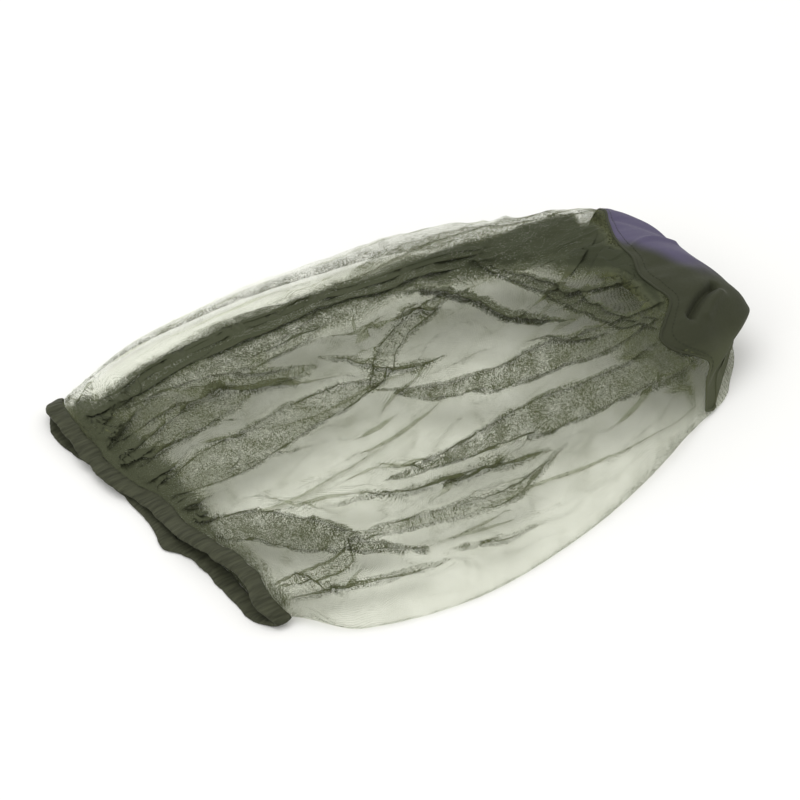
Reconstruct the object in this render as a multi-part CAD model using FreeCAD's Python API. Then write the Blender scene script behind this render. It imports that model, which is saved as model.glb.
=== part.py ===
"""Insect-proof head veil, lying on its side on a flat surface, in millimetres.

A tube of fine net is closed at one end by a round crown panel of denser cloth, and gathered at the other
end into a casing that holds an elastic band. Laid down, the tube is a low, hollow lens: its lower layer
is flat on the surface and its upper layer arches over it, highest beside the crown.

Frame: +X runs along the veil from the neck opening to the crown, +Y across it and +Z up. The origin is on
the surface, under the middle of the veil. The neck casing and its elastic are each one loop in the real
veil. Here each is halved at the middle line, so that the two halves can slide apart as the elastic stretches.
"""

import FreeCAD
import Part
import math
import os

# Driving dimensions
LENGTH = 450.0  # from the neck opening to the crown's tip
NECK_WIDTH = 276.0  # the elastic opening, relaxed and laid flat
NECK_HEIGHT = 16.0  # how far the opening gapes
BODY_HALF_WIDTH = 178.0  # the net tube at its widest
CASING_WIDTH = 12.0
CASING_WALL = 2.8  # two plies of net round the elastic
CASING_PLY = 0.6
ELASTIC_WIDTH = 8.0
ELASTIC_THICKNESS = 1.0
NET_WALL = 0.8  # the crumpled net, taken as one smooth ply
CROWN_WALL = 1.0
CROWN_DEPTH = 54.0  # how far the crown panel bulges past its seam
SEAM_ALLOWANCE = 6.0
PLY_GAP = 0.2  # between plies that lie on each other
PART_GAP = 0.3  # between the casing and the pieces it slides past
STITCH_LENGTH, STITCH_WIDTH, STITCH_THICKNESS = 2.2, 0.5, 0.4
STITCH_PITCH = 3.2
STITCH_END_GAP = 4.0  # from a row's first stitch to the seam that it starts at
HEM_STITCH_INSET = 1.0  # from the hem stitching to the casing's inner edge
SLEEVE_SEAM_Y = 84.0  # where the tube's one long seam runs
SEAM_END_GAP = 1.0  # from the long seam's turned-in edges to the pieces at their ends
CORNER_CLEARANCE = 6.6  # from the opening's corners to the first stitch on the lower layer
BARTACK_Y = 114.0  # beside the opening's far corner
BARTACK_COUNT = 5
BARTACK_PITCH = 1.0

# Places along the veil, as distances from the neck opening
CASING_END = CASING_WIDTH
SLEEVE_START = CASING_END + PART_GAP
CROWN_SEAM = LENGTH - CROWN_DEPTH
START_OVERRUN = 10.0  # the lofts begin this far before the opening, so that slices there are clean
BASE_DEPTH = 1.0  # the lofts begin this far below the surface, and are cut off at it
BEYOND = LENGTH + 1.0  # past the crown's tip
UPPER_LAYER = 4.0  # everything above this height belongs to the upper layer, along the long seam

# How the cross-section changes along the veil: (distance, near edge, far edge, height)
STATIONS = [
    (-START_OVERRUN, -NECK_WIDTH / 2, NECK_WIDTH / 2, NECK_HEIGHT),
    (0.0, -NECK_WIDTH / 2, NECK_WIDTH / 2, NECK_HEIGHT),
    (SLEEVE_START, -NECK_WIDTH / 2, NECK_WIDTH / 2, NECK_HEIGHT),
    (60.0, -161.0, 165.0, 27.0),
    (130.0, -BODY_HALF_WIDTH, BODY_HALF_WIDTH, 38.0),
    (230.0, -168.0, BODY_HALF_WIDTH, 46.0),
    (320.0, -140.0, 160.0, 56.0),
    (CROWN_SEAM, -106.0, 106.0, 70.0),
    (LENGTH - 18.0, -80.0, 74.0, 66.0),
    (LENGTH - 4.0, -62.0, 46.0, 56.0),
    (LENGTH, -50.0, 26.0, 47.0),
]
ARCH_POINTS = 16
ARCH_POWER = 0.78  # under 1 makes the arch squarer than an ellipse


def arch(near, far, height):
    """Points over the upper layer, from the near edge to the far edge, as (y, z)."""
    middle, half = (near + far) / 2, (far - near) / 2
    points = []
    for i in range(ARCH_POINTS + 1):
        angle = math.pi * (1 - i / ARCH_POINTS)
        across, up = math.cos(angle), max(math.sin(angle), 0.0)
        y = middle + half * math.copysign(abs(across) ** ARCH_POWER, across)
        points.append((y, height * up**ARCH_POWER - BASE_DEPTH))
    return points


def lens(inset):
    """The whole veil as one solid, its surface moved inwards by inset, with a flat underside."""
    wires = []
    for distance, near, far, height in STATIONS:
        along = min(distance, LENGTH - inset) - LENGTH / 2
        rim = [FreeCAD.Vector(along, y, z) for y, z in arch(near + inset, far - inset, height - inset)]
        curve = Part.BSplineCurve()
        curve.interpolate(rim)
        wires.append(Part.Wire([curve.toShape(), Part.LineSegment(rim[-1], rim[0]).toShape()]))
    return Part.makeLoft(wires, True).common(block(-START_OVERRUN, BEYOND, low=inset))


def block(start, end, near=-LENGTH, far=LENGTH, low=-LENGTH, high=LENGTH):
    """A box between two distances from the opening, and optionally between sides and heights."""
    corner = FreeCAD.Vector(start - LENGTH / 2, near, low)
    return Part.makeBox(end - start, far - near, high - low, corner)


def shell(outset, inset, start, end):
    """The wall between two depths under the veil's outer surface, between two distances."""
    return lens(outset).common(block(start, end)).cut(lens(inset))


def halves(shape):
    """The near and far halves of a loop, which meet at the middle line with a small gap."""
    near = shape.common(block(-START_OVERRUN, LENGTH, far=-PART_GAP / 2))
    far = shape.common(block(-START_OVERRUN, LENGTH, near=PART_GAP / 2))
    return near, far


def export(name, *shapes):
    solids = [solid for shape in shapes for solid in shape.Solids]
    made = solids[0] if len(solids) == 1 else Part.makeCompound(solids)
    made.exportStep(os.path.join("parts", name + ".step"))
    volume = sum(solid.Volume for solid in solids) / 1000
    print(f"{name}: {len(solids)} solids, {volume:.2f} cm3, valid {made.isValid()}")


def stitch(place, along, outward):
    """One visible stitch: a flat bar on the cloth, centred on place and pointing along."""
    corner = FreeCAD.Vector(-STITCH_LENGTH / 2, -STITCH_WIDTH / 2, 0)
    bar = Part.makeBox(STITCH_LENGTH, STITCH_WIDTH, STITCH_THICKNESS, corner)
    across = outward.cross(along).normalize()
    turn = FreeCAD.Rotation(along, across, outward, "XYZ")
    bar.Placement = FreeCAD.Placement(place, turn)
    return bar


def ring_of_stitches(distance, section, wall):
    """Stitches round one cross-section: over the upper layer, and inside on the lower one."""
    near, far, height = section
    rim = [FreeCAD.Vector(distance - LENGTH / 2, y, z) for y, z in arch(near, far, height)]
    curve = Part.BSplineCurve()
    curve.interpolate(rim)
    stitches = []
    count = int(curve.length() / STITCH_PITCH)
    for i in range(count):
        at = curve.parameterAtDistance((i + 0.5) * curve.length() / count, curve.FirstParameter)
        place = curve.value(at)
        along = FreeCAD.Vector(*curve.tangent(at)[0])
        outward = FreeCAD.Vector(0, -along.z, along.y)
        if place.z > STITCH_LENGTH:
            stitches.append(stitch(place + outward * PLY_GAP, along, outward))
    first = near + CORNER_CLEARANCE + wall
    count = int((far - CORNER_CLEARANCE - wall - first) / STITCH_PITCH)
    for i in range(count):
        y = first + (i + 0.5) * STITCH_PITCH
        place = FreeCAD.Vector(distance - LENGTH / 2, y, wall + PLY_GAP)
        stitches.append(stitch(place, FreeCAD.Vector(0, 1, 0), FreeCAD.Vector(0, 0, 1)))
    return stitches


def split_by_side(stitches):
    """The stitches wholly on the near side of the middle line, and those wholly on the far side."""
    near = [s for s in stitches if s.BoundBox.YMax < -PART_GAP / 2]
    far = [s for s in stitches if s.BoundBox.YMin > PART_GAP / 2]
    return near, far


def row_of_stitches(veil, start, end, y):
    """Stitches along the veil on top of the upper layer, beside the long seam."""

    def top(distance):
        low = FreeCAD.Vector(distance - LENGTH / 2, y, UPPER_LAYER)
        high = FreeCAD.Vector(distance - LENGTH / 2, y, LENGTH)
        probe = Part.LineSegment(low, high).toShape()
        return max(v.Z for v in probe.common(veil).Vertexes)

    stitches = []
    for i in range(int((end - start) / STITCH_PITCH)):
        middle = start + (i + 0.5) * STITCH_PITCH
        rise = top(middle + STITCH_LENGTH / 2) - top(middle - STITCH_LENGTH / 2)
        along = FreeCAD.Vector(STITCH_LENGTH, 0, rise).normalize()
        sideways = FreeCAD.Vector(0, 1, 0)
        place = FreeCAD.Vector(middle - LENGTH / 2, y, top(middle) + PLY_GAP)
        stitches.append(stitch(place, along, along.cross(sideways)))
    return stitches


def neck_casing():
    """The casing's two plies and the channel between them, as near and far halves."""
    wall = shell(0.0, CASING_WALL, 0.0, CASING_END)
    side = (CASING_WIDTH - ELASTIC_WIDTH) / 2 - PLY_GAP
    channel = shell(CASING_PLY, CASING_WALL - CASING_PLY, side, CASING_END - side)
    return halves(wall.cut(channel))


def neck_elastic():
    depth = (CASING_WALL - ELASTIC_THICKNESS) / 2
    side = (CASING_WIDTH - ELASTIC_WIDTH) / 2
    return halves(shell(depth, depth + ELASTIC_THICKNESS, side, side + ELASTIC_WIDTH))


def elastic_bartack():
    """The short dense stitches that close the elastic's loop, beside the opening's far corner."""
    bars = []
    for i in range(BARTACK_COUNT):
        y = BARTACK_Y + i * BARTACK_PITCH
        place = FreeCAD.Vector(CASING_WIDTH / 2 - LENGTH / 2, y, CASING_WALL + PLY_GAP / 2)
        bars.append(stitch(place, FreeCAD.Vector(1, 0, 0), FreeCAD.Vector(0, 0, 1)))
    return bars


def long_seam(veil, allowance):
    """The turned-in edges of the tube's long seam, and the row of stitches beside it."""
    strip = block(
        SLEEVE_START + SEAM_END_GAP,
        CROWN_SEAM - SEAM_ALLOWANCE - SEAM_END_GAP,
        near=SLEEVE_SEAM_Y - SEAM_ALLOWANCE / 2,
        far=SLEEVE_SEAM_Y + SEAM_ALLOWANCE / 2,
        low=UPPER_LAYER,
    )
    start, end = SLEEVE_START + STITCH_END_GAP, CROWN_SEAM - STITCH_END_GAP
    return allowance.common(strip), row_of_stitches(veil, start, end, SLEEVE_SEAM_Y)


def main():
    os.makedirs("parts", exist_ok=True)
    veil = lens(0.0)
    inner_ply = shell(NET_WALL + PLY_GAP, 2 * NET_WALL + PLY_GAP, SLEEVE_START, CROWN_SEAM)
    seam_edges, seam_stitches = long_seam(veil, inner_ply)
    crown_edges = inner_ply.common(block(CROWN_SEAM - SEAM_ALLOWANCE, CROWN_SEAM))
    crown_section = next(s[1:] for s in STATIONS if s[0] == CROWN_SEAM)
    crown_stitches = ring_of_stitches(CROWN_SEAM + STITCH_WIDTH, crown_section, CROWN_WALL)

    export("net_sleeve", shell(0.0, NET_WALL, SLEEVE_START, CROWN_SEAM))
    export("sleeve_seam_allowance", seam_edges)
    export("sleeve_seam_stitching", *seam_stitches)
    export("crown_panel", shell(0.0, CROWN_WALL, CROWN_SEAM, BEYOND))
    export("crown_seam_allowance", crown_edges)
    export("crown_seam_stitching", *crown_stitches)

    near_casing, far_casing = neck_casing()
    near_elastic, far_elastic = neck_elastic()
    neck_section = STATIONS[0][1:]
    hem = ring_of_stitches(CASING_END - HEM_STITCH_INSET, neck_section, CASING_WALL)
    near_hem, far_hem = split_by_side(hem)

    export("neck_casing_near", near_casing)
    export("neck_casing_far", far_casing)
    export("neck_elastic_near", near_elastic)
    export("neck_elastic_far", far_elastic)
    export("hem_stitching_near", *near_hem)
    export("hem_stitching_far", *far_hem)
    export("elastic_bartack", *elastic_bartack())


main()
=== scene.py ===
"""Insect-proof head veil lying on a white surface: a crumpled net tube, a woven crown and a gathered neck.

All lengths below are in millimetres in the veil's own plan: "along" is the distance from the neck opening
towards the crown, "across" is the distance from the middle line, far side positive, and "up" is height. The
function place() turns them into the frame's metres.
"""

import math

import bpy
import numpy as np
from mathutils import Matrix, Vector


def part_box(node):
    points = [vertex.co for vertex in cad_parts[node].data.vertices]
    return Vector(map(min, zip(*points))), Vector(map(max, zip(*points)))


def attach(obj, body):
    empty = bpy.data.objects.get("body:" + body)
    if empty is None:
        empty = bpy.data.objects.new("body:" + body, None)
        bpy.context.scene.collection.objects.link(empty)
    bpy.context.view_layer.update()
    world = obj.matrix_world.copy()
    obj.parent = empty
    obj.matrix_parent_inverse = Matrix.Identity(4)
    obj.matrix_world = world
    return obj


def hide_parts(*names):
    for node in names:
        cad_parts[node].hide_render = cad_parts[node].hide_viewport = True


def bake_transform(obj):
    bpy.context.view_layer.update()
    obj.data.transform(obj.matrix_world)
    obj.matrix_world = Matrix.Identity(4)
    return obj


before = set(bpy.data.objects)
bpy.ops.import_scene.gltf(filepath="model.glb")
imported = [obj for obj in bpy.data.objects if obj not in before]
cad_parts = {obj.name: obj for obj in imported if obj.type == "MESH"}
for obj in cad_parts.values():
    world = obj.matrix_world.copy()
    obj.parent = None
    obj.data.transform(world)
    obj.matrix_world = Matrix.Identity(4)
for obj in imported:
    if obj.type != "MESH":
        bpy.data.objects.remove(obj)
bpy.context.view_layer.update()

MM = 0.001
neck_low, neck_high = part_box("neck_casing_near")
NECK_X = neck_low.x  # where "along" is zero
CASING_WIDTH = (neck_high.x - neck_low.x) / MM


def place(points):
    """(along, across, up) in millimetres to the frame's metres."""
    points = np.asarray(points, float) * MM
    points[..., 0] += NECK_X
    return points


# ---------------------------------------------------------------- small tools


def step(low, high, value):
    """0 below low, 1 above high, and smooth between."""
    t = np.clip((value - low) / (high - low), 0, 1)
    return t * t * (3 - 2 * t)


def through(knots, values, at):
    """A smooth curve through values at knots, read at each point of at."""
    knots, values = np.asarray(knots, float), np.asarray(values, float)
    slopes = np.gradient(values, knots)
    i = np.clip(np.searchsorted(knots, at) - 1, 0, len(knots) - 2)
    width = knots[i + 1] - knots[i]
    t = np.clip((at - knots[i]) / width, 0, 1)
    h00, h10 = 2 * t**3 - 3 * t**2 + 1, t**3 - 2 * t**2 + t
    h01, h11 = 3 * t**2 - 2 * t**3, t**3 - t**2
    return h00 * values[i] + h10 * width * slopes[i] + h01 * values[i + 1] + h11 * width * slopes[i + 1]


def noise(x, y, seed):
    """Smooth noise from -1 to 1 that changes over about one unit."""
    table = np.random.default_rng(seed).uniform(-1, 1, (256, 256))
    xi, yi = np.floor(x).astype(int), np.floor(y).astype(int)
    xf, yf = x - xi, y - yi
    u, v = xf * xf * xf * (xf * (6 * xf - 15) + 10), yf * yf * yf * (yf * (6 * yf - 15) + 10)
    a, b = table[xi % 256, yi % 256], table[(xi + 1) % 256, yi % 256]
    c, d = table[xi % 256, (yi + 1) % 256], table[(xi + 1) % 256, (yi + 1) % 256]
    return (a * (1 - u) + b * u) * (1 - v) + (c * (1 - u) + d * u) * v


def mesh_object(name, points, faces, cloth):
    """A smooth-shaded object from points in the veil's own plan, with cloth as its UVs."""
    mesh = bpy.data.meshes.new(name)
    mesh.from_pydata(place(points).reshape(-1, 3).tolist(), [], faces)
    layer = mesh.uv_layers.new(name="cloth")
    loops = np.zeros(len(mesh.loops), int)
    mesh.loops.foreach_get("vertex_index", loops)
    layer.data.foreach_set("uv", np.asarray(cloth, float).reshape(-1, 2)[loops].ravel())
    mesh.polygons.foreach_set("use_smooth", [True] * len(mesh.polygons))
    mesh.update()
    obj = bpy.data.objects.new(name, mesh)
    bpy.context.scene.collection.objects.link(obj)
    return obj


def add_value(obj, name, values):
    """Gives an object's vertices a number each, which its material reads by name."""
    layer = obj.data.attributes.new(name, "FLOAT", "POINT")
    layer.data.foreach_set("value", np.asarray(values, np.float32).ravel())


def distance_along(line):
    """How far along a line each of its points is."""
    return np.concatenate([[0], np.cumsum(np.linalg.norm(np.diff(line, axis=0), axis=1))])


def grid_faces(rows, columns, closed=False):
    """The quads of a grid of points; a closed one joins its last column to its first."""
    last = columns if closed else columns - 1
    i, j = np.meshgrid(np.arange(rows - 1), np.arange(last), indexing="ij")
    k = (j + 1) % columns
    quads = np.stack([i * columns + j, i * columns + k, (i + 1) * columns + k, (i + 1) * columns + j], -1)
    return quads.reshape(-1, 4).tolist()


# ---------------------------------------------------------------- camera, light and floor

VIEW_AZIMUTH, VIEW_ELEVATION = -32.7, 38.8
VIEW_DISTANCE, VIEW_LENS = 1.62, 106.0
LOOK_AT = Vector((-0.028, -0.003, 0.02))
DAYLIGHT, DAYLIGHT_STRENGTH = (1.0, 0.998, 0.985, 1), 0.89
SOFTBOXES = {  # place and diameter in metres, power in watts
    "softbox_above": ((-0.3, 0.5, 2.3), 2.2, 15),
    "softbox_left": ((-2.0, -0.6, 1.4), 1.2, 5),
}
FLOOR_COLOR, FLOOR_HALF_SIDE, FLOOR_DROP = (0.93, 0.928, 0.915, 1), 6.0, 0.0005
MOST_LAYERS = 96  # how many see-through layers one ray may pass


def make_camera():
    a, e = math.radians(VIEW_AZIMUTH), math.radians(VIEW_ELEVATION)
    back = Vector((math.sin(a) * math.cos(e), -math.cos(a) * math.cos(e), math.sin(e)))
    data = bpy.data.cameras.new("camera")
    data.lens = VIEW_LENS
    camera = bpy.data.objects.new("camera", data)
    camera.location = LOOK_AT + back * VIEW_DISTANCE
    camera.rotation_mode = "QUATERNION"
    camera.rotation_quaternion = (-back).to_track_quat("-Z", "Y")
    bpy.context.scene.collection.objects.link(camera)
    bpy.context.scene.camera = camera


def make_light(name, location, size, power):
    data = bpy.data.lights.new(name, "AREA")
    data.shape, data.size, data.energy = "DISK", size, power
    lamp = bpy.data.objects.new(name, data)
    lamp.location = location
    lamp.rotation_mode = "QUATERNION"
    lamp.rotation_quaternion = (-Vector(location)).to_track_quat("-Z", "Y")
    bpy.context.scene.collection.objects.link(lamp)


def make_stage():
    world = bpy.data.worlds.new("studio")
    world.use_nodes = True
    background = world.node_tree.nodes["Background"]
    background.inputs["Color"].default_value = DAYLIGHT
    background.inputs["Strength"].default_value = DAYLIGHT_STRENGTH
    bpy.context.scene.world = world
    for name, (location, size, power) in SOFTBOXES.items():
        make_light(name, location, size, power)

    material = bpy.data.materials.new("white_surface")
    material.use_nodes = True
    shader = material.node_tree.nodes["Principled BSDF"]
    shader.inputs["Base Color"].default_value = FLOOR_COLOR
    shader.inputs["Roughness"].default_value = 0.8
    shader.inputs["Specular IOR Level"].default_value = 0.1
    side = FLOOR_HALF_SIDE
    corners = [(-side, -side, 0), (side, -side, 0), (side, side, 0), (-side, side, 0)]
    mesh = bpy.data.meshes.new("floor")
    mesh.from_pydata(corners, [], [(0, 1, 2, 3)])
    floor = bpy.data.objects.new("floor", mesh)
    floor.data.materials.append(material)
    floor.location.z = -FLOOR_DROP
    bpy.context.scene.collection.objects.link(floor)
    bpy.context.scene.view_settings.view_transform = "Standard"
    bpy.context.scene.cycles.transparent_max_bounces = MOST_LAYERS


# ---------------------------------------------------------------- materials


class Nodes:
    """Writes a material's node graph in short. Values may be numbers, colours or nodes' sockets."""

    def __init__(self, name):
        self.material = bpy.data.materials.new(name)
        self.material.use_nodes = True
        self.tree = self.material.node_tree
        self.shader = self.tree.nodes["Principled BSDF"]
        self.output = self.tree.nodes["Material Output"]

    def add(self, kind, settings=None, **inputs):
        """A new node. An input goes by its name, or by its number after an i."""
        node = self.tree.nodes.new(kind)
        for key, value in (settings or {}).items():
            setattr(node, key, value)
        for key, value in inputs.items():
            numbered = key[0] == "i" and key[1:].isdigit()
            self.put(node.inputs[int(key[1:]) if numbered else key], value)
        return node

    def put(self, socket, value):
        if isinstance(value, bpy.types.NodeSocket):
            self.tree.links.new(value, socket)
        else:
            socket.default_value = value

    def math(self, operation, a, b=0.0, c=0.0):
        return self.add("ShaderNodeMath", {"operation": operation}, i0=a, i1=b, i2=c).outputs[0]

    def vector(self, operation, a, b=(0, 0, 0), scale=1.0):
        node = self.add("ShaderNodeVectorMath", {"operation": operation}, i0=a, i1=b)
        if operation == "SCALE":
            node.inputs["Scale"].default_value = scale
        return node.outputs["Value" if operation in ("LENGTH", "DOT_PRODUCT") else "Vector"]

    def noise(self, vector, scale, detail=2.0):
        node = self.add("ShaderNodeTexNoise", None, Vector=vector, Scale=scale, Detail=detail)
        return node.outputs["Fac"]

    def ramp(self, value, low, high, a, b):
        """a where value is low, b where it is high, and even between."""
        return self.add("ShaderNodeMapRange", None, Value=value, i1=low, i2=high, i3=a, i4=b).outputs[0]

    def mix(self, factor, a, b):
        node = self.add("ShaderNodeMix", {"data_type": "RGBA"})
        self.put(node.inputs[0], factor)
        self.put(node.inputs[6], a)
        self.put(node.inputs[7], b)
        return node.outputs[2]

    def uv(self):
        return self.add("ShaderNodeTexCoord").outputs["UV"]

    def value(self, name):
        """A vertex value that add_value() has set."""
        return self.add("ShaderNodeAttribute", {"attribute_name": name}).outputs["Fac"]

    def bump(self, height, strength, distance):
        node = self.add("ShaderNodeBump", None, Strength=strength, Distance=distance, Height=height)
        self.put(self.shader.inputs["Normal"], node.outputs[0])


MESH_PITCH = 1.2  # one cell of the net, in the millimetres that the UVs are in
THREAD_SHARE = 0.029  # half a thread's width over the cell's
CROWDED_SHARE = 0.19  # the same where tiny gathers crowd the threads
FIBRE_TINT = (0.995, 1.0, 0.972, 1)  # the fuzz of fine fibres between threads
TANGLE, TANGLE_SCALE = 3.6, 1.1  # how far crowded threads stray from the net's own pattern, and how finely
EDGE_CROWDING = 1.0  # how crowded the net looks where it stands upright
THREAD_DARK, THREAD_LIGHT = (0.088, 0.098, 0.040, 1), (0.128, 0.14, 0.066, 1)
THREAD_FLECK = (0.140, 0.149, 0.068, 1)
# painted shade: thread colours for folds and for bunches, darker than the thread's own for the shade between
# their plies
CROWDED_PAINTED_SHADE, BUNCHED_PAINTED_SHADE = (0.066, 0.073, 0.040, 1), (0.032, 0.037, 0.019, 1)


def hexagon_edge(n, cloth, pitch):
    """How near a point is to its hexagonal cell's edge: 0.5 at the edge, 0 at the middle."""
    flat = n.vector("SCALE", cloth, scale=1 / pitch)
    lattice = (1.0, math.sqrt(3), 1.0)
    half = tuple(x / 2 for x in lattice)
    first = n.vector("SUBTRACT", n.vector("WRAP", flat, lattice), half)
    wrap = first.node.inputs[0].links[0].from_node
    wrap.inputs[2].default_value = (0, 0, 0)
    second = n.vector("SUBTRACT", n.vector("WRAP", n.vector("SUBTRACT", flat, half), lattice), half)
    second.node.inputs[0].links[0].from_node.inputs[2].default_value = (0, 0, 0)
    flatten = (1, 1, 0)
    first, second = n.vector("MULTIPLY", first, flatten), n.vector("MULTIPLY", second, flatten)
    nearer = n.math("LESS_THAN", n.vector("LENGTH", first), n.vector("LENGTH", second))
    mixed = n.add("ShaderNodeMix", {"data_type": "VECTOR"})
    n.put(mixed.inputs[0], nearer)
    n.put(mixed.inputs[4], second)
    n.put(mixed.inputs[5], first)
    cell = n.vector("ABSOLUTE", mixed.outputs[1])
    across = n.vector("DOT_PRODUCT", cell, (0.5, math.sqrt(3) / 2, 0))
    parts = n.add("ShaderNodeSeparateXYZ", None, i0=cell)
    return n.math("MAXIMUM", across, parts.outputs[0])


def net_material(name):
    """Hexagonal net with real holes.

    The vertex value crowding is 0 on plain net, 1 in a fold, and 2 or more in a bunch. It thickens the
    threads, and it also darkens their colour as painted shade.
    """
    n = Nodes(name)
    cloth = n.uv()
    crowding = n.value("crowding")
    up_to_one = n.math("MINIMUM", crowding, 1.0)

    tangle = n.add("ShaderNodeTexNoise", None, Vector=cloth, Scale=TANGLE_SCALE, Detail=1.0).outputs["Color"]
    tangle = n.vector("SCALE", n.vector("SUBTRACT", tangle, (0.5, 0.5, 0.5)), scale=TANGLE)
    edge = hexagon_edge(n, n.vector("ADD", cloth, n.vector("MULTIPLY", tangle, up_to_one)), MESH_PITCH)

    # how wide the threads look: more where crowded, with mottling and grain that fade out in the bunches
    share = n.math("MULTIPLY_ADD", crowding, CROWDED_SHARE - THREAD_SHARE, THREAD_SHARE)
    blotches = n.math("MULTIPLY", n.noise(cloth, 0.06, 3.0), 0.6)
    mottle = n.math("MULTIPLY_ADD", n.noise(cloth, 0.35, 2.0), 0.4, blotches)
    mottle = n.ramp(mottle, 0.35, 0.65, -0.4, 0.4)
    mottle = n.math("MULTIPLY_ADD", mottle, n.ramp(crowding, 1.2, 2.3, 1.35, 0.2), 1.0)
    grain = n.ramp(n.noise(cloth, 0.9, 1.0), 0.3, 0.7, -0.3, 0.3)
    grain = n.math("MULTIPLY", grain, n.ramp(crowding, 1.1, 2.0, 1, 0.15))
    grain = n.math("MULTIPLY_ADD", grain, n.math("MINIMUM", crowding, 0.8), 1.0)
    share = n.math("MULTIPLY", n.math("MULTIPLY", share, mottle), grain)
    on_thread = n.math("GREATER_THAN", edge, n.math("SUBTRACT", 0.5, share))

    color = n.mix(n.noise(cloth, 0.02), THREAD_DARK, THREAD_LIGHT)
    color = n.mix(n.ramp(n.noise(cloth, 0.22, 3.0), 0.5, 0.72, 0, 0.75), color, THREAD_FLECK)
    # painted shade: the threads darken where crowded in a fold, and more in a bunch
    color = n.mix(n.ramp(crowding, 0.3, 1.7, 0, 1), color, CROWDED_PAINTED_SHADE)
    color = n.mix(n.ramp(crowding, 2.2, 2.8, 0, 1), color, BUNCHED_PAINTED_SHADE)
    n.put(n.shader.inputs["Base Color"], color)
    n.put(n.shader.inputs["Roughness"], n.ramp(n.noise(cloth, 0.3), 0, 1, 0.55, 0.85))
    n.put(n.shader.inputs["Specular IOR Level"], 0.15)
    clear = n.add("ShaderNodeBsdfTransparent", None, Color=FIBRE_TINT)
    mixed = n.add("ShaderNodeMixShader", None, i0=on_thread, i1=clear.outputs[0], i2=n.shader.outputs[0])
    n.put(n.output.inputs["Surface"], mixed.outputs[0])
    return n.material


# ---------------------------------------------------------------- the net tube's shape

# Closed sections from the hem to the crown ring: (along, near, far, height, far corner's lead over the
# near one, how much of the arch the near side keeps)
SECTIONS = [
    (12, -132, 138, 11, 0, 1.0),
    (35, -149, 150, 18, 0, 0.8),
    (60, -161, 163, 27, 0, 0.55),
    (130, -178, 176, 38, 0, 0.42),
    (230, -168, 176, 46, 0, 0.42),
    (320, -141, 158, 56, 10, 0.7),
    (396, -112, 96, 62, 38, 1.0),
]
HEM_AT, RING_AT = SECTIONS[0][0], SECTIONS[-1][0]
LAID = 1.5  # how far the lower layer floats over the surface

# The two rims, as (across, along, up) over the upper layer and under the lower one.
HEM_UPPER = [
    (-132, 21, 4), (-120, 16, 10), (-97, 19, 12), (-60, 13, 12), (-30, 6, 9), (2, 5, 7), (16, 3, 6),
    (34, -4, 6), (85, -9, 8), (118, -9, 11), (132, -7, 9), (138, -2, 5),
]
HEM_LOWER = [
    (-132, 21, 3), (-121, 14, 0.5), (-98, 11, 0.5), (-61, 9, 0.5), (-37, 3, 0.5), (-29, -3, 0.5),
    (-16, 0, 0.5), (5, 1, 0.5), (38, -1, 0.5), (71, -5, 0.5), (118, -11, 0.5), (138, -2, 4),
]
CROWN_UPPER = [
    (-112, 379, 5), (-100, 388, 18), (-90, 396, 28), (-81, 371, 42), (-73, 366, 48), (-64, 376, 53),
    (-52, 390, 57), (-35, 389, 60), (-20, 388, 61), (0, 396, 62), (16, 399, 60), (34, 405, 57),
    (54, 415, 54), (74, 426, 49), (88, 428, 34), (96, 424, 4),
]
CROWN_LOWER = [
    (-113, 379, 3), (-106, 402, 0.5), (-88, 429, 0.5), (-68, 449, 0.5), (-50, 449, 0.5), (-22, 440, 1),
    (2, 429, 1), (24, 425, 1), (48, 423, 1), (72, 424, 1), (96, 424, 3),
]


def section(s, points=360):
    """One closed section as (along, across, up), from the near edge over the top to the far edge and back."""
    rows = np.array(SECTIONS, float)
    near, far, height, lead, keep = (through(rows[:, 0], rows[:, k], np.array([s]))[0] for k in range(1, 6))
    angle = np.linspace(0, 2 * math.pi, points, endpoint=False)
    c, up = -np.cos(angle), np.sin(angle)
    power = 0.8
    v = np.sign(c) * np.abs(c) ** power
    y = (near + far) / 2 + (far - near) / 2 * v
    arch = np.where(up > 0, np.abs(up) ** power, 0)
    share = keep + (1 - keep) * step(-0.1, 0.72, v)
    z = np.where(up > 0, LAID + (height - LAID) * arch * share, LAID - 1.2 * np.abs(up) ** 0.5)
    x = s + lead / 2 * v
    return np.stack([x, y, z], -1)


def resample(line, count):
    """count points evenly along a line of points."""
    run = distance_along(line)
    at = np.linspace(0, run[-1], count)
    return np.stack([np.interp(at, run, line[:, k]) for k in range(line.shape[1])], -1)


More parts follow.
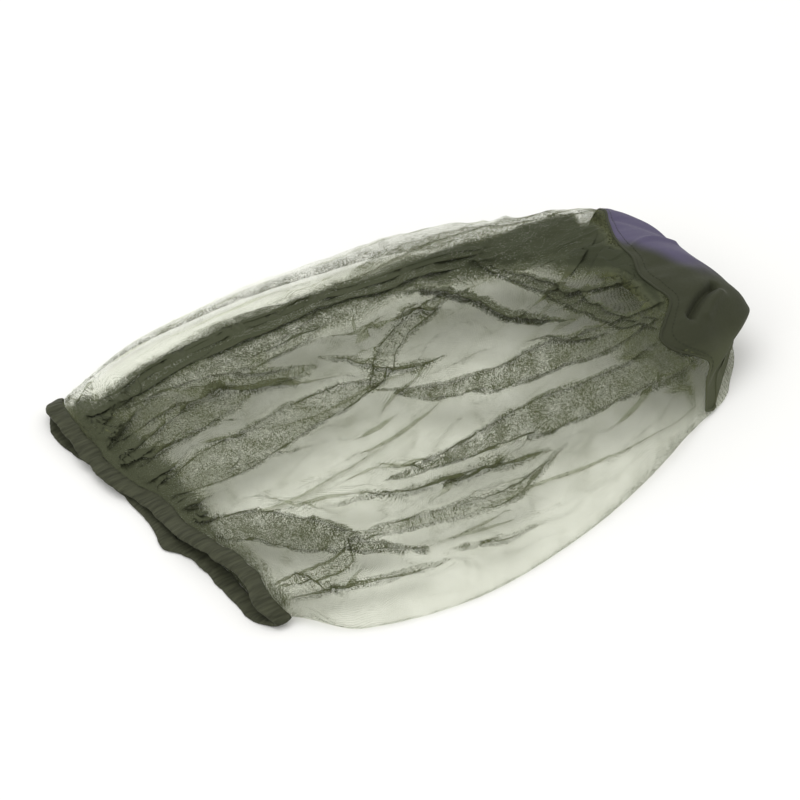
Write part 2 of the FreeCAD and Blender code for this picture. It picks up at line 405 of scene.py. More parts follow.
# Folds of the upper layer. Each is a Z of three plies along a line of (along, across) points, with the
# width that the plies overlap at each point, and how crowded its net is (0 plain, 1 gathered tight).
TOP_FOLDS = [
    # the long ribbon from the hem's middle, pinched at its end
    ([(15, 10), (50, 8), (88, 8), (130, 17), (166, 19), (190, 17)], [18, 30, 28, 26, 24, 7], 1.0),
    ([(187, 16), (195, 22), (205, 31), (230, 48), (263, 56), (292, 70)], [7, 12, 15, 14, 11, 0], 1),
    # between the ribbon and the dark fold
    ([(8, 76), (40, 80), (86, 72), (135, 54), (165, 50)], [16, 22, 22, 16, 0], 1),
    ([(7, 44), (52, 51), (94, 53), (122, 54)], [14, 22, 20, 0], 1),
    ([(70, 80), (120, 76), (165, 76), (205, 80)], [0, 12, 14, 0], 0.9),
    ([(60, 88), (92, 68), (128, 50), (160, 44)], [0, 5, 6, 0], 0.8),
    # fans out of the ribbon's pinched end
    ([(162, 58), (180, 48), (198, 32), (232, 16), (250, 13)], [0, 4, 5, 5, 0], 0.9),
    # spindles that run into the crown
    ([(186, 12), (222, -12), (262, -26), (300, -36), (350, -50), (388, -56)], [0, 14, 23, 26, 22, 14], 1.2),
    ([(138, -66), (190, -72), (236, -72), (268, -76), (305, -82), (345, -86), (384, -82)],
     [0, 13, 24, 34, 32, 28, 18], 1.2),
    ([(90, -67), (140, -80), (170, -88), (212, -97), (250, -104)], [0, 4, 6, 6, 3], 0.8),
    ([(90, -103), (136, -110), (190, -120), (235, -116), (268, -104)], [4, 11, 13, 7, 0], 0.9),
    # along the outer strip
    ([(14, 126), (50, 142), (110, 153), (180, 152), (240, 142)], [2, 3, 3, 3, 0], 0.3),
    ([(40, 128), (100, 138), (170, 136), (230, 128)], [0, 3, 3, 0], 0.3),
    # near the hem, near side
    ([(18, -34), (32, -45), (50, -60), (80, -88), (102, -110), (130, -134)], [6, 22, 30, 26, 10, 3], 1.3),
    ([(92, -104), (86, -110), (74, -116), (57, -118), (39, -114), (21, -108)], [4, 12, 14, 12, 9, 5], 0.6),
    ([(51, -114), (65, -137)], [4, 3], 0.9),
    ([(22, -125), (68, -134), (120, -146), (150, -150)], [3, 5, 4, 0], 0.7),
    ([(142, -142), (176, -149), (221, -156)], [0, 4, 0], 0.7),
    # across the crown's end
    ([(240, 84), (272, 64), (294, 36), (312, 4), (334, -24)], [0, 5, 6, 6, 0], 1.9),
    ([(308, 72), (328, 36), (338, 9), (354, -42), (370, -66)], [4, 11, 13, 12, 8], 1.7),
    ([(322, 24), (345, 4), (374, -16)], [0, 5, 4], 1.7),
    ([(290, -4), (325, -38), (350, -50)], [0, 4, 0], 1.5),
]
# Where the net is bunched and dark without one clear fold: as above, and how soft the edges are
BUNCHES = [
    # beside the far edge, from hem to crown
    ([(8, 98), (57, 106), (118, 108), (181, 104), (235, 97), (295, 82), (343, 66), (392, 56)],
     [26, 32, 32, 31, 32, 38, 44, 40], 2.4, 9),
    ([(262, 94), (306, 82), (346, 68), (394, 58)], [14, 32, 42, 44], 2.6, 5),
    ([(40, 88), (118, 92), (181, 86), (250, 84)], [16, 28, 28, 10], 1.5, 9),
    # outside it, towards the crown
    ([(222, 117), (240, 114), (276, 110), (311, 104), (347, 96), (400, 84)],
     [2, 18, 31, 34, 30, 20], 0.8, 1.2),
    # the wedge between it and the crown, and the pocket against the seam, whose darkness is bunched net and
    # painted shade
    ([(318, 72), (345, 54), (366, 40), (392, 26)], [0, 26, 44, 50], 2.5, 9),
    ([(366, 34), (384, 12), (388, -20), (378, -54)], [26, 32, 18, 8], 2.7, 6),
    ([(336, -66), (358, -74), (378, -84)], [10, 40, 52], 1.5, 11),
    ([(352, 60), (374, 50), (396, 40)], [30, 44, 50], 2.6, 8),
    # along the hem's far half
    ([(14, 118), (16, 60), (21, 10), (24, -40)], [20, 28, 26, 12], 2.3, 8),
    ([(20, 70), (44, 66), (70, 62)], [40, 36, 0], 0.6, 8),
    ([(22, -30), (24, -80), (28, -126)], [20, 18, 14], 2.0, 8),
]
# Folds of the lower layer, seen through the upper one
BOTTOM_FOLDS = [
    ([(10, 110), (80, 128), (180, 138), (280, 128), (360, 96)], [0, 4, 5, 4, 0], 0.3),
    ([(380, -100), (325, -112), (260, -110), (200, -110), (130, -114)], [3, 3, 4, 3, 0], 0.1),
    ([(235, -131), (186, -126), (122, -119)], [0, 4, 0], 0.1),
    ([(20, -20), (90, -34), (170, -20), (250, 8)], [2, 4, 3, 0], 0.1),
    ([(60, 60), (140, 34), (220, 40), (300, 20)], [0, 4, 4, 0], 0.1),
]
# Inside the neck, where the lower layer is gathered into the hem and lies in shade: the bunch is gathered
# net, and its dark colour is painted shade as well
BOTTOM_BUNCHES_AND_SHADE = [([(16, -136), (16, -70), (12, 0), (10, 60), (8, 136)], [24, 24, 16, 16, 16], 2.0, 5)]
# Narrow folds inside the dark bunch: how far each lies to its side, and their widths along it
INNER_FOLDS, INNER_WIDTHS = (-7, 2, 8), [2, 4, 5, 4, 4, 4, 0]
SMALL_FOLDS = 34
FOLD_TIGHTNESS = 2.4  # how hard a fold pulls the cloth over itself; over 1 doubles it back
FOLD_REACH = 2.0  # how far a fold pulls, in its spreads
FOLD_WIDTH = 1.2  # a fold's width over its spread
PLY_RISE, LOWER_PLY_RISE = 1.8, 0.8  # how far a fold lifts the cloth
EDGE_FOLD = 3.2  # the width of the folds in which wide ones turn back
EDGE_DARKNESS = 0.5  # how much more crowded a fold's edges look
FAINT_CREASE = 0.3  # how crowded the net looks along the soft creases between the folds


def small_folds(seed):
    """Short narrow folds scattered over the upper layer, which lean towards the crown."""
    random = np.random.default_rng(seed)
    lines = []
    for _ in range(SMALL_FOLDS):
        x, y = random.uniform(40, 330), random.uniform(-140, 90)
        heading = random.normal(-0.0018 * y * step(100, 300, x), 0.28)
        bend, length, width = random.normal(0, 0.3), random.uniform(35, 130), random.uniform(2.2, 5.5)
        knots = []
        for t in (0, 0.35, 0.7, 1):
            turn = heading + bend * t
            knots.append((x + length * t * math.cos(turn), y + length * t * math.sin(turn)))
        lines.append((knots, [0, width, 0.8 * width, 0], 0.25))
    return lines


def pleats(seed, rim, away, count, low, high):
    """Short folds that fan from a rim. They are longest on the far side, where the rim is gathered most."""
    random = np.random.default_rng(seed)
    lines = []
    for _ in range(count):
        y = random.uniform(low, high)
        length = away * random.uniform(16, 44) * (0.6 + 0.9 * step(-50, 60, y))
        heading = 0.003 * y + random.normal(0, 0.14)
        width = random.uniform(3, 7)
        knots = [(rim + length * t, y + length * t * heading * (1 + 0.5 * t)) for t in (0, 0.5, 1)]
        lines.append((knots, [width, 0.8 * width, 0], 0.4))
    return lines


def line_through(points, values, count=90):
    """A smooth line through given points, with the values along it."""
    points = np.array(points, float)
    run = distance_along(points)
    at = np.linspace(0, run[-1], count)
    line = np.stack([through(run, points[:, k], at) for k in range(2)], -1)
    return line, np.maximum(through(run, values, at), 0)


def turned_edges(lines):
    """The narrow folds in which wide ones turn back, along both of their sides."""
    edges = []
    for knots, widths, _ in lines:
        knots, widths = np.array(knots, float), np.array(widths, float)
        if widths.max() < 2 * EDGE_FOLD:
            edges.append((knots, widths, 0))
            continue
        slope = np.gradient(knots, axis=0)
        normal = np.stack([-slope[:, 1], slope[:, 0]], -1) / np.linalg.norm(slope, axis=1, keepdims=True)
        inset = np.maximum(widths / 2 - EDGE_FOLD / 2, 0)[:, None] * normal
        edges += [(knots + side * inset, np.minimum(widths, EDGE_FOLD), 0) for side in (-1, 1)]
    return edges


def wander(plan):
    """A plan with its points moved a little, which keeps the folds' edges from running straight."""
    return plan + 2.2 * np.stack([noise(plan[:, 0] / 30, plan[:, 1] / 22, k) for k in (81, 82)], -1)


def beside(plan, knots, widths):
    """Finds the points of a plan that lie near a line.

    Gives their numbers, how far they are to its side and past its end, and its width and normal there.
    """
    line, width = line_through(knots, widths)
    reach = FOLD_REACH / FOLD_WIDTH * max(widths) + 5
    near = np.nonzero(((plan > line.min(0) - reach) & (plan < line.max(0) + reach)).all(1))[0]
    gaps = plan[near, None, :] - line[None]
    i = np.argmin((gaps**2).sum(-1), axis=1)
    slope = np.gradient(line, axis=0)
    at = i + (gaps[np.arange(len(near)), i] * slope[i]).sum(-1) / (slope[i] ** 2).sum(-1)
    on = np.clip(at, 0, len(line) - 1)
    past = np.abs(at - on) * np.linalg.norm(slope[i], axis=1)

    def read(values):
        return np.interp(on, np.arange(len(line)), values)

    heading = np.arctan2(read(slope[:, 1]), read(slope[:, 0]))
    normal = np.stack([-np.sin(heading), np.cos(heading)], -1)
    centre = np.stack([read(line[:, 0]), read(line[:, 1])], -1)
    return near, ((plan[near] - centre) * normal).sum(-1), past, read(width), normal


def fold(points, lines, weight, rise=PLY_RISE):
    """Adds each fold's sideways shift and rise, one after the other, to where the points have come to lie."""
    flat = points.reshape(-1, 3)
    for knots, widths, _ in lines:
        near, away, past, size, normal = beside(wander(flat[:, :2]), knots, widths)
        spread = np.maximum(size, 2.0) / FOLD_WIDTH
        fade = step(0, 5, size) * np.exp(-((past / spread) ** 2)) * weight.ravel()[near]
        r = away / spread
        shift = -FOLD_TIGHTNESS * spread * r * np.maximum(1 - (r / FOLD_REACH) ** 2, 0) ** 2 * fade
        up = rise * fade * (1 + np.tanh(2 * r)) / 2 * np.exp(-np.maximum(r - 1, 0) ** 2 / 1.4)
        flat[near, :2] += shift[:, None] * normal
        flat[near, 2] += up


def crowd(points, crowding, lines, weight, soft=1.0, edge=0.0):
    """Raises crowding where points have come to lie inside a fold's band; its edges can be darker still."""
    plan = wander(points[..., :2].reshape(-1, 2))
    value = crowding.ravel()
    for knots, widths, amount, *own in lines:
        near, away, past, size, _ = beside(plan, knots, widths)
        blur = own[0] if own else soft
        share = weight.ravel()[near] * step(0, 2, size) * np.exp(-((past / 4) ** 2))
        away = np.abs(away) - size / 2
        inside = step(blur, -blur, away) * amount + edge * np.exp(-((away / 0.7) ** 2))
        value[near] = np.maximum(value[near], inside * share)


def creases(along, across, seed, long_scale, short_scale):
    """Crumpled-cloth ridges, from 0 to 1, longer along the veil than across it."""
    warp = 0.5 * noise(along / 70, across / 40, seed + 5)
    n = noise(along / long_scale + warp, across / short_scale + 2 * warp, seed)
    return 1 - np.minimum(np.abs(n) * 2.2, 1)


ROWS, TOP_COLUMNS, BOTTOM_COLUMNS = 330, 220, 82
ROWS_EVENED = 31  # how many rows the mesh's grain is evened over, so that it doesn't shear at a fold's end
GRAIN_SLANT = 0.25  # the net's rows run at an angle to the veil
RIM_REACH = 60.0  # how far along the net a rim's own shape carries
SEAM_CLIMB = (-8.0, 9.0, 18.0)  # how far the net climbs (along, across, up) at the crown's near corner


def on_rim(end, upper, lower):
    """Moves the points of one end of the tube onto a rim."""
    moved = end.copy()
    for columns, rim in ((slice(0, TOP_COLUMNS), upper), (slice(TOP_COLUMNS, None), lower)):
        across, along, up = np.array(rim, float).T
        moved[columns, 0] = through(across, along, end[columns, 1])
        moved[columns, 2] = through(across, up, end[columns, 1])
    return moved


def tube_base(side):
    """The tube's near (-1) or far (+1) half, unfolded: rows from the top's middle line to the bottom's."""
    rows = []
    for s in np.linspace(HEM_AT, RING_AT, ROWS):
        ring = section(s)
        quarter = len(ring) // 4
        corner, bottom = (0, -quarter) if side < 0 else (2 * quarter, 3 * quarter)
        over = ring[np.linspace(quarter, corner, quarter + 1).astype(int)]
        under = ring[np.linspace(corner, bottom, quarter + 1).astype(int)]
        rows.append(np.concatenate([resample(over, TOP_COLUMNS), resample(under, BOTTOM_COLUMNS)[1:]]))
    base = np.array(rows)
    hem = on_rim(base[0], HEM_UPPER, HEM_LOWER) + np.array([CASING_WIDTH, 0, 1.0])
    crown = on_rim(base[-1], CROWN_UPPER, CROWN_LOWER)
    s = np.linspace(HEM_AT, RING_AT, ROWS)[:, None, None]
    hem_pull, crown_pull = hem - base[0], crown - base[-1]
    near_hem, near_crown = step(HEM_AT + RIM_REACH, HEM_AT, s), step(RING_AT - RIM_REACH, RING_AT, s)
    base += near_hem * hem_pull + near_crown * crown_pull
    # beside the near corner the net lies on the surface, and climbs to the seam over its last few rows
    y = base[-1, TOP_COLUMNS:, 1]
    climb = (step(-111, -102, y) * step(-16, -62, y))[:, None] * np.array(SEAM_CLIMB)
    base[:, TOP_COLUMNS:] += step(RING_AT - 9, RING_AT, s) * climb
    return base


def steepness(points):
    """How steeply each point of a grid of points lies, from 0 to 1."""
    normal = np.cross(np.gradient(points, axis=0), np.gradient(points, axis=1))
    return 1 - np.abs(normal[..., 2]) / np.maximum(np.linalg.norm(normal, axis=-1), 1e-9)


def evened(values):
    """Values smoothed along the veil."""
    window = np.hanning(ROWS_EVENED + 2)[1:-1]
    half = ROWS_EVENED // 2
    padded = np.pad(values, ((half, half), (0, 0)), mode="edge")
    return sum(w * padded[k : k + ROWS] for k, w in enumerate(window / window.sum()))


def flat_cloth(points, rows, side):
    """Each point's place on the cloth before it was gathered, in millimetres: across it, and along it."""
    gaps = np.linalg.norm(np.diff(points, axis=1), axis=2)
    u = evened(np.concatenate([np.zeros((ROWS, 1)), np.cumsum(gaps, axis=1)], axis=1) * side)
    v = rows + GRAIN_SLANT * np.abs(u)
    return u + 3 * noise(v / 45, u / 45, 15), v + 3 * noise(v / 45, u / 45, 16)


def crumple(points, base, on_top, below):
    """Adds the small creases between the folds."""
    x, y = base[..., 0], base[..., 1]
    fine = creases(x, y, 11, 60, 13) ** 2 * 2.4 + creases(x + 0.6 * y, y - 0.4 * x, 23, 34, 17) ** 2 * 1.6
    fine += 0.5 * noise(x / 9, y / 5, 31)
    under = creases(x, y, 41, 50, 15) ** 2 * 1.4 + 0.3 * noise(x / 8, y / 6, 43)
    points[..., 2] += fine * on_top + under * below
    points[..., 1] += 1.2 * noise(x / 30, y / 6, 51) * on_top


def gather(points, crowding, u, y, rows, top):
    """Adds the gathers, which start at the rims and die out along the veil. Returns the new crowding."""
    gathered = 0.35 + 0.65 * step(-70, 30, y)
    for start, reach, seed in ((HEM_AT, 46, 61), (RING_AT, 40, 71)):
        away = np.abs(rows - start)
        tight, loose = noise(u / 3.2, away / 40, seed), noise(u / 9, away / 60, seed + 1)
        rise = 1.3 * tight * np.exp(-away / (0.35 * reach)) + 2.0 * loose * np.exp(-away / reach)
        points[..., 2] += np.abs(rise) * step(0, 6, away) * np.where(top, 1, 0.4)
        crowding = np.maximum(crowding, gathered * np.exp(-away / (0.3 * reach)))
    points[..., 2] = np.maximum(points[..., 2], 0.3)
    return crowding


def half_tube(side):
    """One half of the crumpled tube: its points, its UVs in millimetres of cloth, and its net's crowding."""
    base = tube_base(side)
    x, y = base[..., 0], base[..., 1]
    points, crowding = base.copy(), np.zeros_like(x)
    top = (np.arange(x.shape[1]) < TOP_COLUMNS)[None, :]
    all_top, all_bottom = top * np.ones_like(x), ~top * np.ones_like(x)
    rows = np.linspace(HEM_AT, RING_AT, ROWS)[:, None]
    from_edge = np.abs(y - y[:, TOP_COLUMNS - 1][:, None])
    ends = step(HEM_AT, HEM_AT + 8, rows) * step(RING_AT, RING_AT - 10, rows)
    on_top, below = step(2, 16, from_edge) * top * ends, step(2, 16, from_edge) * ~top * ends

    crown_side = RING_AT - 8
    upper = small_folds(7) + pleats(5, HEM_AT, 1, 34, -118, 122) + pleats(6, crown_side, -1, 9, -88, 20)
    lower = BOTTOM_FOLDS + pleats(8, HEM_AT, 1, 20, -118, 122) + pleats(9, crown_side, -1, 10, -80, 80)
    bunch = BUNCHES[0][0][: len(INNER_WIDTHS)]
    inner = [([(a, b + shift) for a, b in bunch], INNER_WIDTHS, 0) for shift in INNER_FOLDS]
    fold(points, upper + inner + turned_edges(TOP_FOLDS), on_top)
    fold(points, lower, below, rise=LOWER_PLY_RISE)

    crowd(points, crowding, TOP_FOLDS, on_top, edge=EDGE_DARKNESS)
    crowd(points, crowding, upper, on_top)
    crowd(points, crowding, BUNCHES, all_top)
    crowd(points, crowding, BOTTOM_FOLDS, below)
    faint = creases(x + 0.3 * y, y - 0.2 * x, 87, 38, 11) ** 2
    crowding = np.maximum(crowding, FAINT_CREASE * faint * on_top)
    crowd(points, crowding, BOTTOM_BUNCHES_AND_SHADE, all_bottom)

    u, v = flat_cloth(points, rows, side)
    crumple(points, base, on_top, below)
    crowding = gather(points, crowding, u, y, rows, top)
    crowding = np.maximum(crowding, EDGE_CROWDING * steepness(points) ** 2)
    # the strip outside the bunched band is stretched thin, up to its outer edge
    thin = step(122, 136, y) * step(1.5, 4, from_edge) * step(290, 200, rows)
    # painted light: the net's near side is also made a little sparser, so that side looks lighter
    crowding = crowding * (1 - 0.85 * thin) - 0.14 * thin - 0.05 * step(-80, -130, y)
    return points, np.stack([u, v], -1), crowding


def follow_neck(piece):
    """Bakes a piece's placement into its mesh."""
    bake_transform(piece)


def make_tube(material):
    halves = {}
    for side, name in ((-1, "net_near"), (1, "net_far")):
        points, cloth, crowding = half_tube(side)
        faces = grid_faces(*points.shape[:2])
        if side > 0:
            faces = [f[::-1] for f in faces]
        piece = mesh_object(name, points, faces, cloth)
        add_value(piece, "crowding", crowding)
        piece.data.materials.append(material)
        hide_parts("net_sleeve")
        follow_neck(piece)
        halves[side] = points
    return halves


# ---------------------------------------------------------------- thread

STITCH_LENGTH, STITCH_PITCH, THREAD_RADIUS = 2.4, 3.2, 0.19
THREAD_SIDES = 6


def normals(points):
    """The unit normal at each point of a grid of points."""
    n = np.cross(np.gradient(points, axis=0), np.gradient(points, axis=1))
    return n / np.maximum(np.linalg.norm(n, axis=-1, keepdims=True), 1e-9)


def thread_row(name, path, outward, material, node, pitch=STITCH_PITCH):
    """A row of stitches along a path: each arches a little over the cloth and dips into it at its ends."""
    joined = np.concatenate([path, outward], axis=1)
    run = distance_along(path)
    points, faces = [], []
    around = np.linspace(0, 2 * math.pi, THREAD_SIDES, endpoint=False)
    c, s = np.cos(around)[None, :, None], np.sin(around)[None, :, None]
    for start in np.arange(0.5 * (pitch - STITCH_LENGTH), run[-1] - STITCH_LENGTH, pitch):
        t = np.linspace(0, 1, 6)
        at = np.stack([np.interp(start + STITCH_LENGTH * t, run, values) for values in joined.T], -1)
        out = at[:, 3:]
        middle = at[:, :3] + out * (0.34 * np.sin(math.pi * t) ** 0.6 - 0.08)[:, None]
        along = np.gradient(middle, axis=0)
        along /= np.linalg.norm(along, axis=1, keepdims=True)
        sideways = np.cross(along, out)
        radius = THREAD_RADIUS * np.sin(math.pi * (0.08 + 0.84 * t)) ** 0.4
        ring = c * out[:, None] + s * sideways[:, None]
        first = len(points) * len(t) * THREAD_SIDES
        points.append((middle[:, None] + radius[:, None, None] * ring).reshape(-1, 3))
        faces += [tuple(first + v for v in f) for f in grid_faces(len(t), THREAD_SIDES, closed=True)]
        last = first + (len(t) - 1) * THREAD_SIDES
        faces.append(tuple(range(first + THREAD_SIDES - 1, first - 1, -1)))
        faces.append(tuple(range(last, last + THREAD_SIDES)))
    points = np.concatenate(points)
    piece = mesh_object(name, points, faces, points[:, :2])
    piece.data.materials.append(material)
    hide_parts(node)
    return piece


# ---------------------------------------------------------------- long seam

SEAM_COLUMN, SEAM_HALF_COLUMNS = 126, 3
SEAM_SINK = 0.35  # how far the turned-in edges lie below the net
SEAM_STEP = (0.9, 1.16)  # cloth between the strip's columns and between its rows


def make_long_seam(halves, net, thread):
    """The tube's one long seam runs inside the dark fold: turned-in edges below, stitches on top."""
    far = halves[1]
    out = normals(far)
    out *= np.sign(out[..., 2:])
    columns = np.arange(SEAM_COLUMN - SEAM_HALF_COLUMNS, SEAM_COLUMN + SEAM_HALF_COLUMNS + 1)
    strip = far[3:-3, columns] - SEAM_SINK * out[3:-3, columns]
    cloth = np.stack(np.meshgrid(columns * SEAM_STEP[0], np.arange(len(strip)) * SEAM_STEP[1]), -1)
    piece = mesh_object("seam_edges", strip, grid_faces(*strip.shape[:2]), cloth)
    add_value(piece, "crowding", np.full(strip.shape[:2], 0.6))
    piece.data.materials.append(net)
    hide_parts("sleeve_seam_allowance")
    follow_neck(piece)
    path, outward = far[4:-4, SEAM_COLUMN], out[4:-4, SEAM_COLUMN]
    follow_neck(thread_row("seam_stitches", path, outward, thread, "sleeve_seam_stitching"))


# ---------------------------------------------------------------- crown panel

CROWN_POLE = np.array([452.0, -60.0, 35.0])
CROWN_RINGS, CROWN_SPOKES = 90, 480
CROWN_RADIUS = 90.0  # of the flat panel
WELT_HALF_WIDTH, WELT_HALF_HEIGHT, WELT_SIDES = 1.0, 0.6, 10
# Ridges (+) and creases (-) of the panel's upper side: (along, across) points, height and half width
CROWN_CREASES = [
    ([(400, 12), (412, 15), (426, 16), (444, 12)], 2.0, 3.0),
    ([(398, -66), (411, -58), (422, -53), (432, -49)], -7.0, 3.0),
    ([(410, -69), (420, -63), (432, -57)], 2.5, 3.5),
    ([(396, -30), (412, -26), (436, -30)], 1.6, 7.0),
    ([(420, 62), (432, 40), (444, 24)], -1.6, 5.0),
]


def ring_of(halves, row):
    """One whole row of the tube, from the top's middle line round the near side and back."""
    near, far = halves[-1][row], halves[1][row]
    return np.concatenate([near, far[::-1][1:]])


def painted_light_patch(points):
    """Where light is painted on the crown's cloth, which makes it paler: low down, beside its near corner."""
    return step(44, 22, points[..., 2]) * step(-40, -84, points[..., 1])


def painted_violet_sheen(points):
    """Where violet sheen is painted on the crown: high up, past a slanting line, and away from the near
    corner.
    """
    past = points[..., 0] - (401 + 0.45 * (30 - points[..., 1]))
    return step(-8, 8, past) * step(-46, -6, points[..., 1]) * step(30, 44, points[..., 2])


def crown_surface(rim):
    """The crown in rings from its rim to its pole: points, outward directions, and UVs on the flat panel."""
    a = np.linspace(0, math.pi / 2, CROWN_RINGS)[:, None, None]
    side, forward = np.cos(a) ** 0.7, np.sin(a) ** 0.8
    bulging = step(12, 42, rim[:, 2])[None, :, None]
    forward = bulging * forward + (1 - bulging) * (1 - side)
    side = side + 0 * forward
    points = CROWN_POLE + (rim - CROWN_POLE) * np.concatenate([1 - forward, side, side], -1)
    out = normals(points)
    out *= np.sign(out[..., 0].mean())

    angle = np.linspace(0, 2 * math.pi, len(rim), endpoint=False)
    round_x, round_y = 9 * np.cos(angle), 9 * np.sin(angle)
    a = a[..., 0]
    gathers = noise(round_x * 1.6 + a, round_y * 1.6, 93) * np.exp(-a / 0.25) * 0.9
    swell = 1.6 * noise(points[..., 0] / 22, points[..., 1] / 26 + points[..., 2] / 30, 95)
    for knots, height, width in CROWN_CREASES:
        line, _ = line_through(knots, [1] * len(knots))
        gap = np.linalg.norm(points[..., None, :2] - line, axis=-1).min(-1)
        swell = swell + height * np.exp(-((gap / width) ** 2)) * (points[..., 2] > 25)
    points = points + out * ((gathers + swell) * step(0, 0.12, a) * step(1, 16, points[..., 2]))[..., None]
    points[..., 2] = np.maximum(points[..., 2], 0.3)

    radius = CROWN_RADIUS * (1 - a / (math.pi / 2))
    return points, out, np.stack([radius * np.cos(angle), radius * np.sin(angle)], -1)


def closed_ring(points):
    """A ring's points with the first one again at the end."""
    return np.concatenate([points, points[:1]])


def make_crown_part(name, points, cloth, material, node):
    """A piece of crown cloth: a grid of points that closes on itself."""
    piece = mesh_object(name, points, grid_faces(*points.shape[:2], closed=True), cloth)
    # painted light: the crown cloth is paler low down beside its near corner
    add_value(piece, "painted_light_patch", painted_light_patch(points))
    piece.data.materials.append(material)
    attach(piece, "root")
    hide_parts(node)
    return piece


def make_crown(halves, material, thread):
    rim = resample(ring_of(halves, -1), CROWN_SPOKES + 1)[:-1]
    points, out, cloth = crown_surface(rim)
    panel = make_crown_part("crown_cloth", points, cloth, material, "crown_panel")
    # painted sheen: violet on the crown's top, where it catches the light
    add_value(panel, "painted_sheen", painted_violet_sheen(points))

    # the seam's turned edges make a narrow rounded welt along the rim
    closed, lift = closed_ring(rim), closed_ring(out[2])
    tangent = np.gradient(closed, axis=0)
    tangent /= np.linalg.norm(tangent, axis=1, keepdims=True)
    inward = np.cross(tangent, lift)
    around = np.linspace(0, 2 * math.pi, WELT_SIDES, endpoint=False)
    c, s = np.cos(around)[None, :, None], np.sin(around)[None, :, None]
    welt = closed[:, None] + 0.5 * lift[:, None]
    welt = welt + WELT_HALF_WIDTH * c * inward[:, None] + WELT_HALF_HEIGHT * s * lift[:, None]
    cloth = np.stack(np.broadcast_arrays(np.arange(len(closed))[:, None] * 1.2, around[None] * 1.4), -1)
    make_crown_part("crown_seam_welt", welt, cloth, material, "crown_seam_allowance")

    path, outward = closed_ring(points[4]), closed_ring(out[4])
    stitches = thread_row("crown_stitches", path, outward, thread, "crown_seam_stitching")
    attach(stitches, "root")


# ---------------------------------------------------------------- neck casing, elastic and stitches

CASING_THICKNESS, CASING_SIDES = 3.4, 28
ELASTIC_WIDTH, ELASTIC_THICKNESS, ELASTIC_SIDES = 8.0, 1.0, 12


def hem_axes(halves, side):
    """The casing's middle line on one side, its direction across the band, and its outward direction."""
    rear = resample(halves[side][0], 420)
    front = rear - np.array([CASING_WIDTH, 0, 1.0])
    band = rear - front
    band /= np.linalg.norm(band, axis=1, keepdims=True)
    tangent = np.gradient(rear, axis=0)
    outward = np.cross(tangent, band) * side
    outward /= np.linalg.norm(outward, axis=1, keepdims=True)
    return (front + rear) / 2, band, outward


def sweep(name, middle, band, outward, wide, thick, corners, material, node, slot, side):
    """A flat rounded section carried along the neck: wide and thick are its half sizes at each point."""
    angle = np.linspace(0, 2 * math.pi, wide.shape[1], endpoint=False)[None, :]
    c, s = np.cos(angle), np.sin(angle)
    across = np.sign(c) * np.abs(c) ** corners * wide
    out = np.sign(s) * np.abs(s) ** corners * thick
    points = middle[:, None] + across[..., None] * band[:, None] + out[..., None] * outward[:, None]
    points[..., 2] = np.maximum(points[..., 2], 0.2)
    run = distance_along(middle)[:, None]
    cloth = np.stack([run + 0 * c, 0 * run + angle / math.pi * wide.mean() * 2], -1)
    piece = mesh_object(name, points, grid_faces(len(points), wide.shape[1], closed=True), cloth)
    piece.data.materials.append(material)
    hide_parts(node)
    follow_neck(piece)
    return points


def make_neck(halves, casing, elastic, thread):
    for side, where in ((-1, "near"), (1, "far")):
        middle, band, outward = hem_axes(halves, side)
        run = distance_along(middle)[:, None]
        c = np.cos(np.linspace(0, 2 * math.pi, CASING_SIDES, endpoint=False))[None, :]
        tucks = noise(run / 2.6 + 0.5 * c, run / 9 + 1.2 * c, 101)
        puff = 0.95 + 0.18 * tucks + 0.35 * noise(run / 11, c * 1.2 + 3, 103)
        wide = CASING_WIDTH / 2 + 0.3 + 0.9 * noise(run / 9, 0 * run + 7, 105) + 0.25 * tucks
        line = middle + 0.7 * noise(run / 20, 0 * run + 2, 107) * outward
        axes = (line, band, outward)
        sweep("casing_" + where, *axes, wide, CASING_THICKNESS / 2 * puff, 0.75,
              casing, "neck_casing_" + where, "casing_cloth", side)
        flat = np.ones((len(run), ELASTIC_SIDES))
        sweep("elastic_" + where, *axes, ELASTIC_WIDTH / 2 * flat, ELASTIC_THICKNESS / 2 * flat, 0.5,
              elastic, "neck_elastic_" + where, "elastic", side)
        path = line + (CASING_WIDTH / 2 - 1.2) * band + 0.62 * CASING_THICKNESS / 2 * outward
        stitches = thread_row("hem_stitches_" + where, path, outward, thread, "hem_stitching_" + where)
        follow_neck(stitches)
        if side > 0:
            make_bartack(*axes, thread)


BARTACK_Y, BARTACK_COUNT, BARTACK_REACH = 114.0, 5, 1.4


def make_bartack(middle, band, outward, thread):
    """The dense stitches that close the elastic's loop, inside the casing's lower strand."""
    lower = np.nonzero((middle[:, 1] > BARTACK_Y) & (np.arange(len(middle)) > len(middle) / 2))[0][-1]
    places = lower - 2 * np.arange(BARTACK_COUNT)
    reaches = (-BARTACK_REACH, BARTACK_REACH)
    path = np.array([middle[k] + reach * band[k] + 0.5 * outward[k] for k in places for reach in reaches])
    outs = np.repeat(outward[places], 2, axis=0)
    pitch = 2 * BARTACK_REACH
    follow_neck(thread_row("bartack_thread", path, outs, thread, "elastic_bartack", pitch))
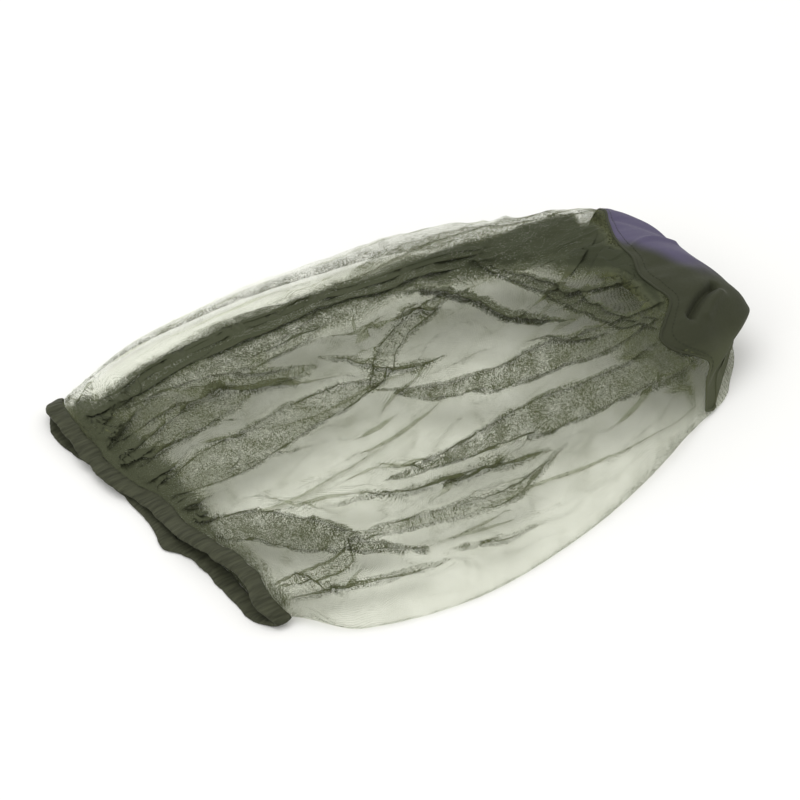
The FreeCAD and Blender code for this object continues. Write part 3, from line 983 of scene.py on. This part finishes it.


# ---------------------------------------------------------------- opaque cloth and thread materials


# Dark and light colours of each cloth, and the violet of the sheen painted on the crown's top
THREAD_COLORS = (0.02, 0.024, 0.012, 1), (0.04, 0.045, 0.026, 1)
CROWN_COLORS = (0.027, 0.030, 0.014, 1), (0.038, 0.042, 0.021, 1)
# the casing's pair is painted shade in the hollows of its gathers and painted light on their ridges
CASING_COLORS = (0.024, 0.026, 0.013, 1), (0.062, 0.066, 0.038, 1)
ELASTIC_COLORS = (0.015, 0.017, 0.011, 1), (0.03, 0.033, 0.022, 1)
PAINTED_SHEEN_VIOLET = (0.085, 0.074, 0.13, 1)
SHEEN_TINT = (0.5, 0.5, 0.5, 1)
PAINTED_LIGHT_BRIGHTNESS = 1.6  # painted light: the lit patch's colour over the light cloth colour


def cloth_material(name, dark, light, pitch, painted_sheen=None, sheen_weight=0.05, bump=0.25, gathered=False):
    """Close-woven cloth, with a fine weave and broad variation."""
    n = Nodes(name)
    cloth = n.uv()
    weave = n.noise(n.vector("SCALE", cloth, scale=1 / pitch), 1.0)
    if gathered:
        # the gathers' relief: it sets the bump, and the colour follows it, painted shade in the hollows and
        # painted light on the ridges
        gathers_and_shade = n.noise(n.vector("MULTIPLY", cloth, (0.42, 0.09, 1)), 1.0, 3.0)
        color = n.mix(n.ramp(gathers_and_shade, 0.3, 0.7, 0, 1), dark, light)
        weave = n.math("MULTIPLY_ADD", gathers_and_shade, 5.0, weave)
    else:
        color = n.mix(n.noise(cloth, 0.06, 4.0), dark, light)
    if painted_sheen is not None:
        # painted light: a paler patch low on the crown beside its near corner
        color = n.mix(n.value("painted_light_patch"), color, tuple(PAINTED_LIGHT_BRIGHTNESS * x for x in light[:3]) + (1,))
        # painted sheen: the crown's top turns violet where it catches the light
        color = n.mix(n.value("painted_sheen"), color, painted_sheen)
    n.put(n.shader.inputs["Base Color"], color)
    n.put(n.shader.inputs["Roughness"], n.ramp(n.noise(cloth, 0.5), 0, 1, 0.55, 0.8))
    n.put(n.shader.inputs["Specular IOR Level"], 0.2)
    n.put(n.shader.inputs["Sheen Weight"], sheen_weight)
    n.put(n.shader.inputs["Sheen Tint"], SHEEN_TINT)
    n.bump(weave, bump, 0.0004)
    return n.material


make_camera()
make_stage()
net = net_material("net")
thread = cloth_material("thread", *THREAD_COLORS, 0.3)
crown = cloth_material("crown_cloth", *CROWN_COLORS, 0.8, painted_sheen=PAINTED_SHEEN_VIOLET, sheen_weight=0.1)
casing = cloth_material("casing_cloth", *CASING_COLORS, 0.8, bump=0.4, gathered=True)
elastic = cloth_material("elastic", *ELASTIC_COLORS, 0.6)
halves = make_tube(net)
make_long_seam(halves, net, thread)
make_crown(halves, crown, thread)
make_neck(halves, casing, elastic, thread)
